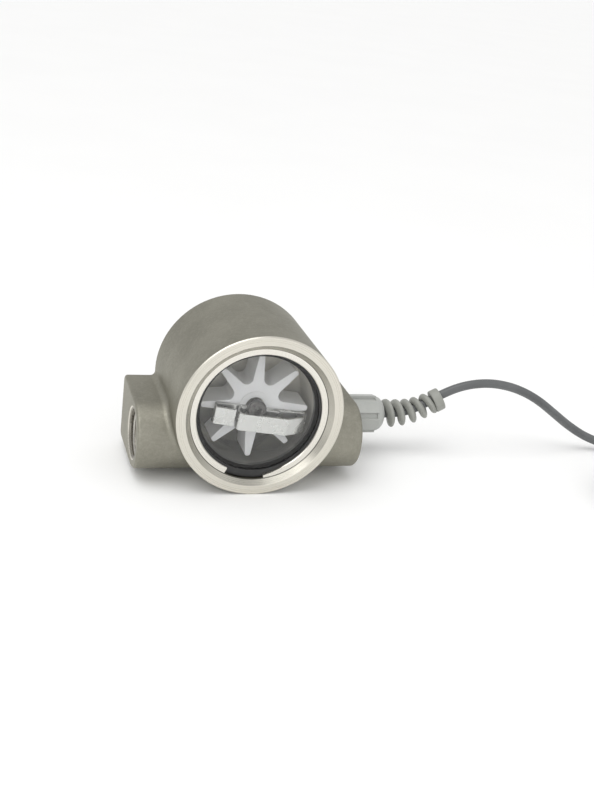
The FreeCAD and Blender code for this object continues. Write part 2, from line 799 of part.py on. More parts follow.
def make_rear_cover():
    spigot_front = COVER_SEAT - 5.0
    spigot_radius = d.compartment_radius - 0.2
    groove_front = spigot_front + 1.4
    groove_back = groove_front + 2.3
    groove_floor = spigot_radius - 1.7
    cover = turned("rear_cover", (
        (COVER_SEAT, 0), (COVER_SEAT, spigot_radius - 4), (spigot_front, spigot_radius - 4),
        (spigot_front, spigot_radius), (groove_front, spigot_radius),
        (groove_front, groove_floor), (groove_back, groove_floor),
        (groove_back, spigot_radius), (COVER_SEAT + 0.05, spigot_radius),
        (COVER_SEAT + 0.05, d.cover_radius - 0.2), (d.barrel_length, d.cover_radius - 0.2),
        (d.barrel_length, 0),
    ))
    sketch = new_sketch(cover, "XY_Plane", (d.cover_screw_circle, 0, 0))
    add_polygon(sketch, (
        (0, COVER_SEAT), (1.7, COVER_SEAT), (1.7, d.barrel_length - 1.6),
        (3.2, d.barrel_length), (0, d.barrel_length),
    ))
    countersink = revolved(cover, sketch, axis="V_Axis", cut=True)
    ring_of(cover, [countersink], 4)

    o_ring_section = 0.94
    torus(
        "rear_cover_o_ring", d.compartment_radius - 0.96, o_ring_section,
        (0, groove_front + 1.15 - d.barrel_length * 0.5, d.barrel_radius), Vector(0, 1, 0),
    )

    screws = new_body("rear_cover_screws", separate_solids=True)
    sketch = new_sketch(screws, "XY_Plane", (d.cover_screw_circle, 0, 0))
    head_face = d.barrel_length - 0.05
    add_polygon(sketch, (
        (0, 54.6), (1.2, 54.6), (1.2, head_face - 1.9), (3.0, head_face - 0.1),
        (3.0, head_face), (0, head_face),
    ))
    screw = revolved(screws, sketch, axis="V_Axis")
    sketch = cross_section(screws, head_face, x=d.cover_screw_circle)
    add_hexagon(sketch, 2.0)
    socket = pocket(screws, sketch, 1.2, reverse=True)
    ring_of(screws, [screw, socket], 4)


# ---------------------------------------------------------------- cable gland

def make_gland():
    turned_on_gland("gland_gasket", tube_block(0, 1.5, 8.6, 10.4))

    gland = turned_on_gland("gland_body", (
        (-12, 3.2), (-12, d.gland_hole_radius - 0.05), (4, d.gland_hole_radius - 0.05),
        (4, 7.9), (14, 7.9), (14, 7.1), (7, 7.1), (5, 3.2),
    ))
    sketch = new_sketch(gland, "YZ_Plane", (0, 0, 1.5))
    add_hexagon(sketch, 20.0, turn=30.0)
    add_circle(sketch, 0, 0, 7.0)
    pad(gland, sketch, 3.5)

    turned_on_gland("gland_seal", tube_block(7.2, 14.5, d.cable_radius, 5.4))

    clamp = turned_on_gland("gland_clamp", (
        (7.2, 5.45), (7.2, 7.0), (14.5, 7.0), (18.5, 5.6), (18.5, 4.6), (14.8, 5.45),
    ))
    sketch = new_sketch(clamp, "YZ_Plane", (0, 0, 9.5))
    add_polygon(sketch, ((4.0, -0.5), (8.0, -0.5), (8.0, 0.5), (4.0, 0.5)))
    slot = pocket(clamp, sketch, 10.0, reverse=True)
    ring_of(clamp, [slot], 10, role="X_Axis")

    nut = turned_on_gland("gland_nut", (
        (5.3, 8.0), (5.3, 9.2), (19.9, 9.2), (19.9, 9.9), (21.3, 9.7), (23.1, 8.9),
        (24.5, 7.6), (d.nut_mouth, 6.2), (d.nut_mouth, 3.6), (19.4, 3.6), (18.6, 6.0),
        (15.0, 7.2), (14.6, 8.0),
    ))
    # Six flats stand proud of the nut, with a narrow sunk strip between each pair.
    sketch = new_sketch(nut, "YZ_Plane", (0, 0, 5.3))
    flat = 10.15
    half_flat = 3.6
    turn = math.radians(195.3)

    def turned_point(radial, across):
        return (
            radial * math.cos(turn) - across * math.sin(turn),
            radial * math.sin(turn) + across * math.cos(turn),
        )

    add_polygon(sketch, [
        turned_point(8.6, -half_flat), turned_point(flat, -half_flat),
        turned_point(flat, half_flat), turned_point(8.6, half_flat),
    ])
    land = pad(nut, sketch, 15.3)
    ring_of(nut, [land], 6, role="X_Axis")

    turned_on_gland("cable_in_gland", (
        (-34.7, 0), (-34.7, d.cable_radius), (d.nut_mouth, d.cable_radius), (d.nut_mouth, 0),
    ))


# ---------------------------------------------------------------- bend protector and cable

def make_bend_protector():
    """The plain envelope of the moulded spiral: a tapered sleeve with a bore for the cable."""
    path = rounded_wire(PROTECTOR_ROUTE)
    start = Vector(*PROTECTOR_ROUTE[0])
    end = Vector(*PROTECTOR_ROUTE[-1])
    first = Part.Wire(Part.makeCircle(PROTECTOR_RADII[0], start, path.Edges[0].tangentAt(0)))
    last_edge = path.Edges[-1]
    leaving = last_edge.tangentAt(last_edge.LastParameter)
    last = Part.Wire(Part.makeCircle(PROTECTOR_RADII[1], end, leaving))
    outside = path.makePipeShell([first, last], True, False)
    bore = path.makePipeShell([round_section(PROTECTOR_ROUTE, PROTECTOR_BORE)], True, False)
    free_shape("bend_protector", outside.cut(bore))


def make_cable():
    free_shape("cable", round_tube(CABLE_ROUTE, d.cable_radius.value, report="cable"))

    coil_centre = (d.coil_centre_x, d.coil_centre_y, 0)
    step = d.cable_radius * 2
    outer = d.coil_turn_radius + d.cable_radius
    split = outer - step
    inner = split - step
    coil = new_body("cable_coil", coil_centre)
    sketch = new_sketch(coil, "XZ_Plane")
    add_polygon(sketch, (
        (inner, 0), (outer, 0), (outer, step * 3 + d.coil_lift), (split, step * 3 + d.coil_lift),
        (split, step * 2 + d.coil_lift), (inner, step * 2 + d.coil_lift),
    ))
    revolved(coil, sketch, axis="V_Axis")

    # The three insulated leads at the cable's far end lie in the step on top of the coil.
    lead_radius = 0.8
    lead_start_angle = 110
    leads = doc.addObject("Part::Compound", "cable_leads")
    leads.Label = "cable_leads"
    arcs = []
    for number in range(3):
        arc = doc.addObject("Part::Torus", "cable_lead")
        bind(arc, "Radius1", split - 0.95 - 1.65 * number)
        bind(arc, "Radius2", lead_radius)
        shorter = 8 * number
        arc.Angle3 = 90 - shorter
        place(
            arc, (0, 0, step * 2 + d.coil_lift + lead_radius + 0.05),
            Rotation(Vector(0, 0, 1), shorter),
        )
        arcs.append(arc)
    leads.Links = arcs
    place(leads, coil_centre, Rotation(Vector(0, 0, 1), lead_start_angle))
    sub_parts.append(leads)


# ---------------------------------------------------------------- build, check and write

def check_all():
    doc.recompute()
    for thing in doc.Objects:
        if "Invalid" in thing.State or "Error" in thing.State:
            raise RuntimeError(f"{thing.Label} failed: {thing.State}")
    for part in sub_parts:
        if part.Shape.isNull() or not part.Shape.isValid() or not part.Shape.Solids:
            raise RuntimeError(f"{part.Label} has no valid solid")


def write_all():
    os.makedirs(PARTS_FOLDER, exist_ok=True)
    for part in sub_parts:
        part.Shape.exportStep(f"{PARTS_FOLDER}/{part.Label}.step")
        solids = part.Shape.Solids
        print(f"{part.Label}: {len(solids)} solid(s), {part.Shape.Volume:.1f} mm3")


make_body()
make_window()
make_rotor()
make_shaft()
make_clip()
make_sensor()
make_rear_cover()
make_gland()
make_bend_protector()
make_cable()
check_all()
write_all()
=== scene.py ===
import json
import math

import bmesh
import bpy
from mathutils import Matrix, Vector

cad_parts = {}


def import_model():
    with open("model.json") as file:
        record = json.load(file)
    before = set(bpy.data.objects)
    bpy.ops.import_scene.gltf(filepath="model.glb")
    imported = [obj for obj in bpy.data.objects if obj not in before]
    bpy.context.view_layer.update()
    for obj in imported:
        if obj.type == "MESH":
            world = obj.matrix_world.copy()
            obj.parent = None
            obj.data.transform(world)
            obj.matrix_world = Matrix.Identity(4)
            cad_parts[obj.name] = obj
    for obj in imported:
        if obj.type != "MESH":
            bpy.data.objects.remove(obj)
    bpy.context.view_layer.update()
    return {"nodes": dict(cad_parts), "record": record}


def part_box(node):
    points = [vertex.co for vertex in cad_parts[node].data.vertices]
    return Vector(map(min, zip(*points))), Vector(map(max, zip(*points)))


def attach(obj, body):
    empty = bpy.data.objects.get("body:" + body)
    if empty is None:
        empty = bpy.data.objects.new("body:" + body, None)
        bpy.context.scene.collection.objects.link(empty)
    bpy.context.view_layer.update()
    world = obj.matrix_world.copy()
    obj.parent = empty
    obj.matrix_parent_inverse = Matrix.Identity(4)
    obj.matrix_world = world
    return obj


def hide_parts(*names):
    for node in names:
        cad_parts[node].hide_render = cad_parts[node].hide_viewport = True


# Looks of the sight flow indicator. Lengths are in metres unless a comment says otherwise, in
# the frame of the CAD model:
# +X from port to port, -Y out of the window, +Z up, the origin on the floor under the barrel.

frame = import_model()
nodes = frame["nodes"]

MM = 0.001

# Places taken from the CAD model.
body_low, body_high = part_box("body")
glass_low, glass_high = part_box("window_glass")
coil_low, coil_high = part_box("cable_coil")

AXIS = (glass_low + glass_high) / 2
RIM_Y = body_low.y
COIL_CENTRE = (coil_low + coil_high) / 2
PORT_REACH = body_high.x
_, PORT_Y, PORT_Z = frame["record"]["mounts"][0]["pos_m"]

CABLE_RADIUS = 2.5 * MM
CABLE_WIDTH = 2 * CABLE_RADIUS
LEAD_RADIUS = 0.8 * MM
CONDUCTOR_RADIUS = 0.65 * MM

# The cable's route from the gland nut to its coil, in metres.
CABLE_ROUTE = (
    (0.0839, 0.0190, 0.0221),
    (0.0950, 0.0190, 0.0221),
    (0.1066, 0.0190, 0.0263),
    (0.1176, 0.0191, 0.0332),
    (0.1290, 0.0193, 0.0384),
    (0.1410, 0.0192, 0.0408),
    (0.1530, 0.0189, 0.0406),
    (0.1660, 0.0184, 0.0376),
    (0.1790, 0.0179, 0.0316),
    (0.1910, 0.0176, 0.0234),
    (0.2030, 0.0179, 0.0150),
    (0.2155, 0.0174, 0.0080),
    (0.2280, 0.0146, 0.0043),
    (0.2395, 0.0080, 0.0032),
    (0.2485, -0.0020, 0.0031),
    (0.2546, -0.0145, 0.0031),
    (0.2580, -0.0290, 0.0031),
    (0.2580, -0.0530, 0.0031),
)

# The coil's turns run clockwise from above: degrees wound so far, turn radius, height in metres.
COIL_STAGES = (
    (0, 0.0300, 0.0031),
    (270, 0.0300, 0.0031),
    (326, 0.0250, 0.0031),
    (590, 0.0250, 0.0031),
    (645, 0.0250, 0.0081),
    (895, 0.0250, 0.0081),
    (950, 0.0300, 0.0081),
    (1200, 0.0300, 0.0081),
    (1255, 0.0300, 0.0131),
    (1500, 0.0300, 0.0131),
    (1555, 0.0250, 0.0131),
    (1600, 0.0250, 0.0131),
)
COIL_STEP_DEGREES = 15
COIL_REACH = (coil_high.x - coil_low.x) / 2

# The bend protector droops a little under the stiffer cable inside it.
PROTECTOR_ROUTE = (
    (0.0839, 0.0190, 0.0221),
    (0.0957, 0.0190, 0.0221),
    (0.1077, 0.0190, 0.0256),
    (0.1186, 0.0190, 0.0316),
)


# ---------------------------------------------------------------- small tools

def smooth_step(share):
    share = min(1.0, max(0.0, share))
    return share * share * (3 - 2 * share)


def blend(start, end, share):
    return start + (end - start) * share


def nurbs_curve(name, points, radius=0.0, resolution=6, bevel_resolution=6):
    """One open order-3 spline whose line runs smoothly inside the points."""
    curve = bpy.data.curves.new(name, "CURVE")
    curve.dimensions = "3D"
    spline = curve.splines.new("NURBS")
    spline.points.add(len(points) - 1)
    for control, point in zip(spline.points, points):
        control.co = (*point, 1.0)
    spline.order_u = 3
    spline.use_endpoint_u = True
    spline.resolution_u = resolution
    spline.use_smooth = True
    curve.bevel_depth = radius
    curve.bevel_resolution = bevel_resolution
    curve.use_fill_caps = True
    piece = bpy.data.objects.new(name, curve)
    bpy.context.scene.collection.objects.link(piece)
    return piece


def line_of(points, resolution=8):
    """The points along the smooth line that a route's control points make."""
    guide = nurbs_curve("guide", points, resolution=resolution)
    mesh = bpy.data.meshes.new_from_object(guide)
    line = [vertex.co.copy() for vertex in mesh.vertices]
    bpy.data.meshes.remove(mesh)
    curve = guide.data
    bpy.data.objects.remove(guide)
    bpy.data.curves.remove(curve)
    return line


class Path:
    """A line of points that is read by the length travelled along it."""

    def __init__(self, line):
        self.line = line
        self.reach = [0.0]
        for start, end in zip(line, line[1:]):
            self.reach.append(self.reach[-1] + (end - start).length)
        self.length = self.reach[-1]

    def at(self, distance):
        """The point and the direction at a distance from the start."""
        index = 0
        while index < len(self.line) - 2 and self.reach[index + 1] < distance:
            index += 1
        start, end = self.line[index], self.line[index + 1]
        share = (distance - self.reach[index]) / (self.reach[index + 1] - self.reach[index])
        before = self.line[max(0, index - 1)]
        after = self.line[min(len(self.line) - 1, index + 2)]
        direction = (end - before).normalized().lerp((after - start).normalized(), share)
        return start.lerp(end, share), direction.normalized()


def mesh_piece(name, bm, smooth=True):
    bmesh.ops.recalc_face_normals(bm, faces=bm.faces)
    mesh = bpy.data.meshes.new(name)
    bm.to_mesh(mesh)
    bm.free()
    for face in mesh.polygons:
        face.use_smooth = smooth
    piece = bpy.data.objects.new(name, mesh)
    bpy.context.scene.collection.objects.link(piece)
    return piece


def loft(bm, rings, closed=False):
    """Skin rings that all have the same number of points, with end caps unless it closes."""
    rows = [[bm.verts.new(point) for point in ring] for ring in rings]
    pairs = list(zip(rows, rows[1:]))
    if closed:
        pairs.append((rows[-1], rows[0]))
    for row, following in pairs:
        count = len(row)
        for index in range(count):
            after = (index + 1) % count
            bm.faces.new((row[index], row[after], following[after], following[index]))
    if not closed:
        bm.faces.new(list(reversed(rows[0])))
        bm.faces.new(rows[-1])


def lathe(bm, profile, centre, axis, side, steps=64):
    """Turn (distance along axis, radius) points into a closed ring about the axis."""
    across = axis.cross(side)
    rings = []
    for step in range(steps):
        angle = 2 * math.pi * step / steps
        outward = side * math.cos(angle) + across * math.sin(angle)
        rings.append([
            centre + axis * along + outward * radius for along, radius in profile
        ])
    loft(bm, rings, closed=True)


def round_box(bm, centre, size, bevel, segments=3, turn=None):
    """A block with rounded edges, added to a mesh."""
    made = bmesh.ops.create_cube(bm, size=1.0)
    turn = turn or Matrix.Identity(4)
    matrix = Matrix.Translation(centre) @ turn @ Matrix.Diagonal((*size, 1.0))
    bmesh.ops.transform(bm, matrix=matrix, verts=made["verts"])
    edges = {edge for vertex in made["verts"] for edge in vertex.link_edges}
    bmesh.ops.bevel(
        bm, geom=list(edges), offset=bevel, segments=segments, profile=0.5, affect="EDGES",
    )


def finish_piece(piece, material, body="housing"):
    piece.data.materials.clear()
    piece.data.materials.append(material)
    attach(piece, body)
    return piece


# ---------------------------------------------------------------- materials

class Recipe:
    """A node material that is put together step by step."""

    def __init__(self, name, metallic=0.0, roughness=0.5):
        self.material = bpy.data.materials.new(name)
        self.material.use_nodes = True
        self.tree = self.material.node_tree
        self.shader = self.tree.nodes["Principled BSDF"]
        self.output = self.tree.nodes["Material Output"]
        self.shader.inputs["Metallic"].default_value = metallic
        self.shader.inputs["Roughness"].default_value = roughness
        self.place = self.node("ShaderNodeTexCoord").outputs["Object"]

    def node(self, kind, **settings):
        made = self.tree.nodes.new(kind)
        for name, value in settings.items():
            setattr(made, name, value)
        return made

    def link(self, source, target):
        self.tree.links.new(source, target)

    def set_input(self, socket, value):
        if isinstance(value, bpy.types.NodeSocket):
            self.link(value, socket)
        else:
            socket.default_value = value

    def shader_input(self, name, value):
        self.set_input(self.shader.inputs[name], value)

    def noise(self, scale, detail=3.0, rough=0.5, distortion=0.0, place=None):
        noise = self.node("ShaderNodeTexNoise")
        noise.inputs["Scale"].default_value = scale
        noise.inputs["Detail"].default_value = detail
        noise.inputs["Roughness"].default_value = rough
        noise.inputs["Distortion"].default_value = distortion
        self.link(place or self.place, noise.inputs["Vector"])
        return noise.outputs["Fac"]

    def maths(self, operation, first, second=0.0):
        node = self.node("ShaderNodeMath", operation=operation)
        self.set_input(node.inputs[0], first)
        self.set_input(node.inputs[1], second)
        return node.outputs[0]

    def ramp(self, value, start, end, low=0.0, high=1.0):
        """A smooth change from low to high while the value goes from start to end."""
        node = self.node("ShaderNodeMapRange", interpolation_type="SMOOTHSTEP")
        self.link(value, node.inputs["Value"])
        for name, number in (
            ("From Min", start), ("From Max", end), ("To Min", low), ("To Max", high),
        ):
            node.inputs[name].default_value = number
        return node.outputs["Result"]

    def mix(self, share, first, second):
        node = self.node("ShaderNodeMix", data_type="RGBA")
        self.set_input(node.inputs["Factor"], share)
        for name, colour in (("A", first), ("B", second)):
            self.set_input(
                node.inputs[name], (*colour, 1.0) if isinstance(colour, tuple) else colour,
            )
        return node.outputs["Result"]

    def axes(self):
        node = self.node("ShaderNodeSeparateXYZ")
        self.link(self.place, node.inputs["Vector"])
        return node.outputs

    def distance_from_line(self, first, second, first_at, second_at):
        """How far a point is from a line along the third axis."""
        across = self.maths("SUBTRACT", first, first_at)
        up = self.maths("SUBTRACT", second, second_at)
        squares = self.maths(
            "ADD", self.maths("MULTIPLY", across, across), self.maths("MULTIPLY", up, up),
        )
        return self.maths("SQRT", squares)

    def bump(self, height, distance, strength=1.0):
        node = self.node("ShaderNodeBump")
        node.inputs["Strength"].default_value = strength
        node.inputs["Distance"].default_value = distance
        self.link(height, node.inputs["Height"])
        self.link(node.outputs["Normal"], self.shader.inputs["Normal"])


def turned_streaks(recipe, radius, depth):
    """Fine rings left by a lathe tool: noise that changes only along the radius and the axis."""
    place = recipe.node("ShaderNodeCombineXYZ")
    recipe.set_input(place.inputs["X"], radius)
    recipe.set_input(place.inputs["Y"], depth)
    return recipe.noise(2600.0, detail=2.0, rough=0.6, place=place.outputs["Vector"])


# Where the casting is machined, and where light and shade are painted on it: radii about the
# barrel's axis or a port's, depths from the rim, heights from the axis.
# Each edge is a pair, across which one finish or painted shade gives way to the next.
RIM_LAND_DEPTHS = (0.45 * MM, 0.6 * MM)
RIM_CONE_DEPTHS = (0.0, 0.2 * MM)
SEAT_RADII = (38.0 * MM, 38.1 * MM)
SEAT_DEPTHS = (11.0 * MM, 11.2 * MM)
# Radii of a painted shadow line at the mouth of the retaining ring's groove.
RING_GROOVE_SHADOW_RADII = (35.4 * MM, 35.25 * MM)
CHAMBER_RADII = (30.0 * MM, 30.1 * MM)
CHAMBER_DEPTHS = (8.0 * MM, 8.2 * MM)
# Heights of the painted shade and light on the chamber wall, from the barrel's axis.
CHAMBER_SHADE_HEIGHTS = (-22.0 * MM, 12.0 * MM)
PORT_RADII = (13.65 * MM, 13.8 * MM)
PORT_FACE_REACHES = (40.5 * MM, 41.5 * MM)
PORT_BORE_REACHES = (58.3 * MM, 58.0 * MM)

BLASTED_COLOURS = ((0.282, 0.273, 0.228), (0.330, 0.319, 0.269))
BLASTED_SPECK = (0.405, 0.392, 0.335)
TURNED_COLOURS = ((0.63, 0.605, 0.53), (0.74, 0.71, 0.635))
TURNED_CLOUD = (0.60, 0.58, 0.52)
# Painted shade for the rim's cone, standing in for its dark reflection of the shaded floor.
CONE_PAINTED_SHADE = (0.44, 0.425, 0.375)
# Painted shade for the deep part of each port's bore.
BORE_PAINTED_SHADE = (0.22, 0.205, 0.175)
# Painted shade and light for the chamber wall: dark low, light high.
CHAMBER_PAINTED_SHADE_COLOURS = ((0.24, 0.235, 0.205), (0.80, 0.78, 0.71))
# Painted shadow for the line at the ring groove's mouth.
GROOVE_PAINTED_SHADOW = (0.05, 0.048, 0.042)


def cast_body_material():
    """Bead-blasted casting; the window rim, the bores and the port mouths are machined bright.
    Painted shade darkens the rim's cone and the deep bores, a painted shadow line marks the ring
    groove, and painted shade and light run the chamber wall from dark below to light above.
    """
    recipe = Recipe("bead_blasted_casting", metallic=1.0)

    def both(first, second):
        return recipe.maths("MULTIPLY", first, second)

    def before(value, edge, origin=0.0):
        return recipe.ramp(value, origin + edge[0], origin + edge[1], 1.0, 0.0)

    def beyond(value, edge, origin=0.0):
        return recipe.ramp(value, origin + edge[0], origin + edge[1])

    x, y, z = recipe.axes()
    radius = recipe.distance_from_line(x, z, AXIS.x, AXIS.z)
    near_rim = before(y, RIM_LAND_DEPTHS, RIM_Y)
    inside_seat = before(radius, SEAT_RADII)
    seat = both(inside_seat, before(y, SEAT_DEPTHS, RIM_Y))
    inside_port = before(recipe.distance_from_line(y, z, PORT_Y, PORT_Z), PORT_RADII)
    side = recipe.maths("ABSOLUTE", x)
    port_mouth = both(inside_port, beyond(side, PORT_FACE_REACHES))
    machined = recipe.maths("MAXIMUM", near_rim, recipe.maths("MAXIMUM", seat, port_mouth))

    cloud = recipe.noise(38.0, detail=4.0, rough=0.6)
    grain = recipe.noise(1400.0, detail=2.0, rough=0.7)
    speck = recipe.noise(520.0, detail=3.0, rough=0.65)
    blasted = recipe.mix(recipe.ramp(cloud, 0.35, 0.68), *BLASTED_COLOURS)
    blasted = recipe.mix(recipe.ramp(speck, 0.42, 0.72, 0.0, 0.30), blasted, BLASTED_SPECK)
    # Painted shade and light on the chamber wall: darker towards the bottom, lighter towards the
    # top.
    in_chamber = both(before(radius, CHAMBER_RADII), beyond(y, CHAMBER_DEPTHS, RIM_Y))
    chamber_shading = recipe.mix(beyond(z, CHAMBER_SHADE_HEIGHTS, AXIS.z), *CHAMBER_PAINTED_SHADE_COLOURS)
    blasted = recipe.mix(both(in_chamber, 0.9), blasted, chamber_shading)

    streaks = turned_streaks(recipe, radius, y)
    turned = recipe.mix(recipe.ramp(streaks, 0.3, 0.7), *TURNED_COLOURS)
    turned = recipe.mix(recipe.ramp(cloud, 0.3, 0.7, 0.0, 0.35), turned, TURNED_CLOUD)
    # Painted shade over the rim's cone.
    in_cone = both(inside_seat, beyond(y, RIM_CONE_DEPTHS, RIM_Y))
    turned = recipe.mix(both(in_cone, 0.75), turned, CONE_PAINTED_SHADE)
    # Painted shade deep in each port's bore.
    in_bore = both(port_mouth, beyond(side, PORT_BORE_REACHES))
    turned = recipe.mix(both(in_bore, 0.85), turned, BORE_PAINTED_SHADE)
    # A painted shadow line inside the ring groove's radius, where ring and seat meet.
    groove_shadow_line = both(in_cone, beyond(radius, RING_GROOVE_SHADOW_RADII))
    turned = recipe.mix(both(groove_shadow_line, 0.85), turned, GROOVE_PAINTED_SHADOW)
    recipe.shader_input("Base Color", recipe.mix(machined, blasted, turned))

    roughness = recipe.node("ShaderNodeMix", data_type="FLOAT")
    recipe.set_input(roughness.inputs["Factor"], machined)
    recipe.set_input(roughness.inputs["A"], recipe.ramp(grain, 0.3, 0.7, 0.50, 0.62))
    recipe.set_input(roughness.inputs["B"], recipe.ramp(streaks, 0.3, 0.7, 0.25, 0.38))
    recipe.shader_input("Roughness", roughness.outputs["Result"])
    cast_height = recipe.maths("ADD", grain, both(speck, 1.4))
    cast_height = both(cast_height, recipe.maths("SUBTRACT", 1.0, machined))
    turned_height = both(both(streaks, 0.25), machined)
    recipe.bump(recipe.maths("ADD", cast_height, turned_height), 0.06 * MM)
    return recipe.material


def metal(name, dark, light, rough_low, rough_high, grain_scale, bump=0.01 * MM):
    """Bare metal with an even grain."""
    recipe = Recipe(name, metallic=1.0)
    grain = recipe.noise(grain_scale, detail=3.0, rough=0.6)
    cloud = recipe.noise(60.0, detail=3.0)
    colour = recipe.mix(recipe.ramp(grain, 0.3, 0.7), dark, light)
    colour = recipe.mix(recipe.ramp(cloud, 0.35, 0.75, 0.0, 0.3), colour, dark)
    recipe.shader_input("Base Color", colour)
    recipe.shader_input("Roughness", recipe.ramp(grain, 0.25, 0.75, rough_low, rough_high))
    if bump:
        recipe.bump(grain, bump)
    return recipe.material


def turned_metal(name, dark, light, rough_low, rough_high):
    """Bare metal turned about the barrel's axis, with fine rings."""
    recipe = Recipe(name, metallic=1.0)
    x, y, z = recipe.axes()
    radius = recipe.distance_from_line(x, z, AXIS.x, AXIS.z)
    streaks = turned_streaks(recipe, radius, y)
    cloud = recipe.noise(55.0, detail=3.0)
    colour = recipe.mix(recipe.ramp(streaks, 0.3, 0.7), dark, light)
    colour = recipe.mix(recipe.ramp(cloud, 0.35, 0.75, 0.0, 0.25), colour, dark)
    recipe.shader_input("Base Color", colour)
    recipe.shader_input("Roughness", recipe.ramp(streaks, 0.25, 0.75, rough_low, rough_high))
    recipe.bump(streaks, 0.012 * MM)
    return recipe.material


def moulded(name, dark, light, rough_low=0.42, rough_high=0.58, grain_scale=900.0,
            subsurface=0.0, bump=0.02 * MM):
    """Moulded plastic or rubber: slightly mottled, with a fine eroded-tool texture."""
    recipe = Recipe(name)
    grain = recipe.noise(grain_scale, detail=3.0, rough=0.6)
    cloud = recipe.noise(70.0, detail=3.0, rough=0.55)
    colour = recipe.mix(recipe.ramp(cloud, 0.3, 0.7), dark, light)
    colour = recipe.mix(recipe.ramp(grain, 0.4, 0.75, 0.0, 0.22), colour, light)
    recipe.shader_input("Base Color", colour)
    recipe.shader_input("Roughness", recipe.ramp(grain, 0.3, 0.7, rough_low, rough_high))
    if subsurface:
        recipe.shader_input("Subsurface Weight", subsurface)
        recipe.shader_input("Subsurface Radius", (4.0 * MM, 4.0 * MM, 4.2 * MM))
        recipe.shader_input("Subsurface Scale", 0.6)
    recipe.bump(grain, bump)
    return recipe.material


def glass_material():
    """Clear polished plate; lamps shine through it as through the real window."""
    recipe = Recipe("window_glass_clear", roughness=0.0)
    recipe.shader_input("Base Color", (0.985, 0.99, 0.985, 1.0))
    recipe.shader_input("Transmission Weight", 1.0)
    recipe.shader_input("IOR", 1.47)
    smear = recipe.noise(90.0, detail=4.0, rough=0.7, distortion=0.6)
    recipe.shader_input("Roughness", recipe.ramp(smear, 0.62, 0.85, 0.0, 0.03))
    clear = recipe.node("ShaderNodeBsdfTransparent")
    clear.inputs["Color"].default_value = (0.97, 0.975, 0.97, 1.0)
    light_path = recipe.node("ShaderNodeLightPath")
    either = recipe.node("ShaderNodeMixShader")
    share, glass_shader, clear_shader = either.inputs[:3]
    recipe.link(light_path.outputs["Is Shadow Ray"], share)
    recipe.link(recipe.shader.outputs["BSDF"], glass_shader)
    recipe.link(clear.outputs["BSDF"], clear_shader)
    recipe.link(either.outputs["Shader"], recipe.output.inputs["Surface"])
    return recipe.material


def board_material():
    """Green solder mask that is a little lighter over the copper tracks."""
    recipe = Recipe("solder_mask_green", roughness=0.3)
    bricks = recipe.node("ShaderNodeTexBrick")
    turn = recipe.node("ShaderNodeMapping")
    turn.inputs["Rotation"].default_value = (math.pi / 2, 0.0, 0.0)
    recipe.link(recipe.place, turn.inputs["Vector"])
    recipe.link(turn.outputs["Vector"], bricks.inputs["Vector"])
    for name, value in (
        ("Scale", 130.0), ("Mortar Size", 0.035), ("Mortar Smooth", 0.2),
        ("Brick Width", 0.9), ("Row Height", 0.22),
    ):
        bricks.inputs[name].default_value = value
    speck = recipe.noise(300.0, detail=2.0)
    mask = recipe.mix(
        recipe.ramp(speck, 0.35, 0.7), (0.010, 0.085, 0.030), (0.016, 0.120, 0.045),
    )
    track = recipe.mix(0.55, mask, (0.06, 0.24, 0.08))
    recipe.shader_input("Base Color", recipe.mix(bricks.outputs["Fac"], track, mask))
    recipe.shader_input("Roughness", recipe.ramp(speck, 0.3, 0.7, 0.25, 0.36))
    recipe.bump(bricks.outputs["Fac"], 0.03 * MM, strength=0.4)
    return recipe.material


cast_body = cast_body_material()
turned_steel = turned_metal(
    "turned_stainless", (0.50, 0.48, 0.43), (0.57, 0.55, 0.495), 0.30, 0.36,
)
plain_steel = metal(
    "machined_stainless", (0.48, 0.47, 0.43), (0.64, 0.62, 0.57), 0.28, 0.42, 700.0,
)
spring_steel = turned_metal(
    "bright_spring_steel", (0.72, 0.695, 0.63), (0.84, 0.815, 0.75), 0.22, 0.34,
)
strip_steel = metal(
    "bright_rolled_strip", (0.630, 0.630, 0.615), (0.660, 0.660, 0.645), 0.26, 0.29, 120.0,
    bump=0.0,
)
dark_steel = metal(
    "blackened_screw", (0.060, 0.058, 0.056), (0.15, 0.145, 0.14), 0.26, 0.42, 900.0,
)
ferrite = metal(
    "ferrite_magnet", (0.06, 0.06, 0.065), (0.12, 0.12, 0.125), 0.5, 0.65, 1200.0,
)
glass = glass_material()
rotor_white = moulded(
    "rotor_white_plastic", (0.78, 0.78, 0.79), (0.84, 0.84, 0.85), 0.34, 0.48,
    grain_scale=600.0, subsurface=0.25,
)
bush_plastic = moulded("bush_plastic_white", (0.76, 0.76, 0.765), (0.82, 0.82, 0.825))
gasket_black = moulded("gasket_black", (0.020, 0.020, 0.020), (0.036, 0.036, 0.036), 0.35, 0.55)
rubber_black = moulded("rubber_black", (0.012, 0.012, 0.012), (0.026, 0.026, 0.026), 0.5, 0.7)
gland_grey = moulded(
    "gland_grey_polyamide", (0.395, 0.405, 0.385), (0.450, 0.460, 0.437), 0.36, 0.50,
    grain_scale=700.0, bump=0.025 * MM,
)
protector_grey = moulded(
    "protector_grey_polyamide", (0.270, 0.275, 0.250), (0.320, 0.325, 0.298), 0.42, 0.56,
    grain_scale=700.0, bump=0.025 * MM,
)
jacket_grey = moulded(
    "cable_jacket_grey", (0.104, 0.108, 0.110), (0.132, 0.137, 0.139), 0.36, 0.50,
    grain_scale=1100.0, bump=0.025 * MM,
)
component_black = moulded("component_black", (0.012, 0.012, 0.012), (0.03, 0.03, 0.03))
terminal_green = moulded("terminal_green", (0.03, 0.16, 0.07), (0.05, 0.22, 0.10))
board_green = board_material()
